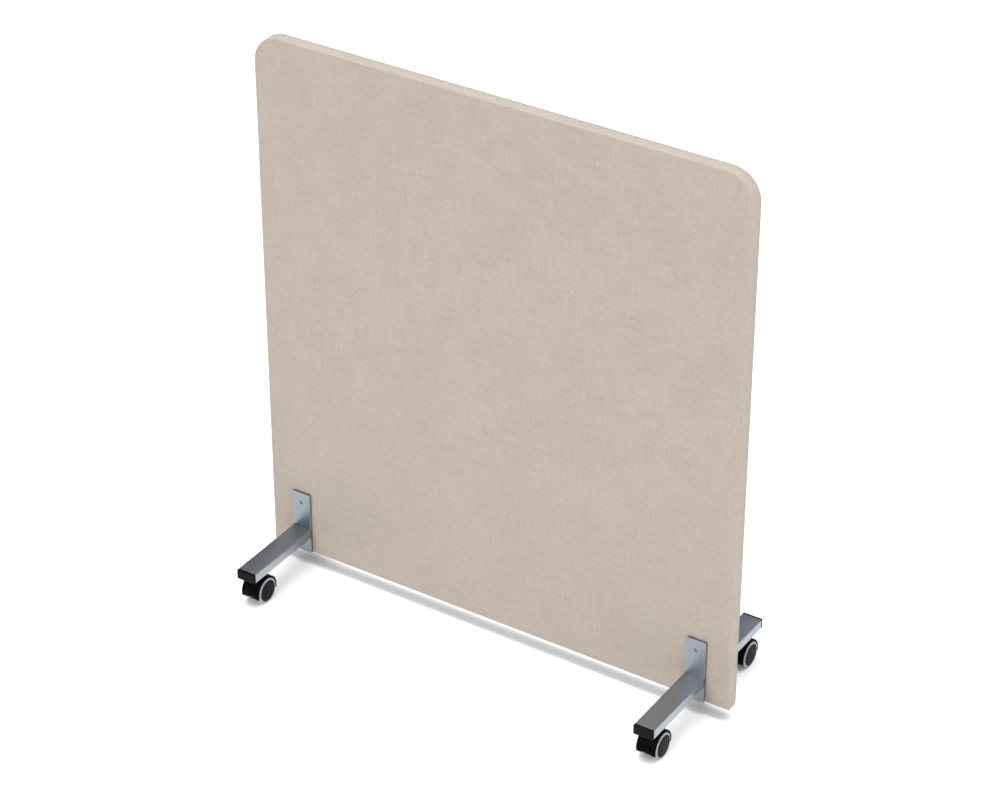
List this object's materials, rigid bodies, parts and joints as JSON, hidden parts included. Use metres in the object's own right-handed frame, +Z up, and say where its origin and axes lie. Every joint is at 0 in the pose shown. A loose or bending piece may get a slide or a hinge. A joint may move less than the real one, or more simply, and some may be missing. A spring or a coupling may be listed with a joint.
{
  "type": "partition wall",
  "caption": "Free-standing fabric-covered partition panel with rounded upper corners on two flat T-feet with hooded twin-wheel casters.",
  "frame": {"origin": "on the floor, under the middle of the panel", "axes": "+X along the panel's width to the right, -Y to the front, +Z up"},
  "size_m": [1.5, 0.596, 1.65],
  "materials": {
    "fabric": "beige melange woven cover",
    "closing_tape": "black hook-and-loop tape",
    "board": "plain hardboard",
    "softwood": "planed, unfinished",
    "wool": "needled acoustic wadding",
    "foot_steel": "silver grey powder coat, satin",
    "screw_steel": "zinc plated, flat head",
    "zinc_steel": "zinc plated",
    "cap_plastic": "black, fine moulded texture",
    "caster_plastic": "black nylon, satin",
    "wheel_plastic": "black nylon, satin",
    "tread": "grey soft tread, matt"
  },
  "bodies": {
    "wall": {"cover_front": "fabric", "cover_back": "fabric", "closing_strip": "closing_tape", "facing_board_front": "board", "facing_board_back": "board", "frame_stile_left": "softwood", "frame_stile_right": "softwood", "frame_rail_top": "softwood", "frame_rail_middle": "softwood", "frame_rail_bottom": "softwood", "frame_corner_left": "softwood", "frame_corner_right": "softwood", "foot_block_left": "softwood", "foot_block_right": "softwood", "acoustic_pad_upper": "wool", "acoustic_pad_lower": "wool", "foot_bolts": "screw_steel", "foot_sleeve_nuts": "screw_steel", "caster_nuts": "zinc_steel", "caster_stems": "zinc_steel", "stem_clips": "zinc_steel", "front_left_plate": "foot_steel", "front_left_tube": "foot_steel", "front_left_end_cap": "cap_plastic", "front_right_plate": "foot_steel", "front_right_tube": "foot_steel", "front_right_end_cap": "cap_plastic", "rear_left_plate": "foot_steel", "rear_left_tube": "foot_steel", "rear_left_end_cap": "cap_plastic", "rear_right_plate": "foot_steel", "rear_right_tube": "foot_steel", "rear_right_end_cap": "cap_plastic"},
    "front_left_caster": {"front_left_hood": "caster_plastic", "front_left_axle": "zinc_steel"},
    "front_left_outboard_roller": {"front_left_outboard_wheel": "wheel_plastic", "front_left_outboard_tread": "tread"},
    "front_left_inboard_roller": {"front_left_inboard_wheel": "wheel_plastic", "front_left_inboard_tread": "tread"},
    "front_right_caster": {"front_right_hood": "caster_plastic", "front_right_axle": "zinc_steel"},
    "front_right_outboard_roller": {"front_right_outboard_wheel": "wheel_plastic", "front_right_outboard_tread": "tread"},
    "front_right_inboard_roller": {"front_right_inboard_wheel": "wheel_plastic", "front_right_inboard_tread": "tread"},
    "rear_left_caster": {"rear_left_hood": "caster_plastic", "rear_left_axle": "zinc_steel"},
    "rear_left_outboard_roller": {"rear_left_outboard_wheel": "wheel_plastic", "rear_left_outboard_tread": "tread"},
    "rear_left_inboard_roller": {"rear_left_inboard_wheel": "wheel_plastic", "rear_left_inboard_tread": "tread"},
    "rear_right_caster": {"rear_right_hood": "caster_plastic", "rear_right_axle": "zinc_steel"},
    "rear_right_outboard_roller": {"rear_right_outboard_wheel": "wheel_plastic", "rear_right_outboard_tread": "tread"},
    "rear_right_inboard_roller": {"rear_right_inboard_wheel": "wheel_plastic", "rear_right_inboard_tread": "tread"}
  },
  "joints": [
    {"name": "front_left_swivel", "type": "hinge", "parent": "wall", "child": "front_left_caster", "pos_m": [-0.646, -0.258, 0.06], "axis": [0, 0, 1], "continuous": true},
    {"name": "front_left_outboard_spin", "type": "hinge", "parent": "front_left_caster", "child": "front_left_outboard_roller", "pos_m": [-0.646, -0.238, 0.0375], "axis": [1, 0, 0], "continuous": true},
    {"name": "front_left_inboard_spin", "type": "hinge", "parent": "front_left_caster", "child": "front_left_inboard_roller", "pos_m": [-0.646, -0.238, 0.0375], "axis": [1, 0, 0], "continuous": true},
    {"name": "front_right_swivel", "type": "hinge", "parent": "wall", "child": "front_right_caster", "pos_m": [0.646, -0.258, 0.06], "axis": [0, 0, 1], "continuous": true},
    {"name": "front_right_outboard_spin", "type": "hinge", "parent": "front_right_caster", "child": "front_right_outboard_roller", "pos_m": [0.646, -0.238, 0.0375], "axis": [1, 0, 0], "continuous": true},
    {"name": "front_right_inboard_spin", "type": "hinge", "parent": "front_right_caster", "child": "front_right_inboard_roller", "pos_m": [0.646, -0.238, 0.0375], "axis": [1, 0, 0], "continuous": true},
    {"name": "rear_left_swivel", "type": "hinge", "parent": "wall", "child": "rear_left_caster", "pos_m": [-0.646, 0.258, 0.06], "axis": [0, 0, 1], "continuous": true},
    {"name": "rear_left_outboard_spin", "type": "hinge", "parent": "rear_left_caster", "child": "rear_left_outboard_roller", "pos_m": [-0.646, 0.238, 0.0375], "axis": [1, 0, 0], "continuous": true},
    {"name": "rear_left_inboard_spin", "type": "hinge", "parent": "rear_left_caster", "child": "rear_left_inboard_roller", "pos_m": [-0.646, 0.238, 0.0375], "axis": [1, 0, 0], "continuous": true},
    {"name": "rear_right_swivel", "type": "hinge", "parent": "wall", "child": "rear_right_caster", "pos_m": [0.646, 0.258, 0.06], "axis": [0, 0, 1], "continuous": true},
    {"name": "rear_right_outboard_spin", "type": "hinge", "parent": "rear_right_caster", "child": "rear_right_outboard_roller", "pos_m": [0.646, 0.238, 0.0375], "axis": [1, 0, 0], "continuous": true},
    {"name": "rear_right_inboard_spin", "type": "hinge", "parent": "rear_right_caster", "child": "rear_right_inboard_roller", "pos_m": [0.646, 0.238, 0.0375], "axis": [1, 0, 0], "continuous": true}
  ]
}
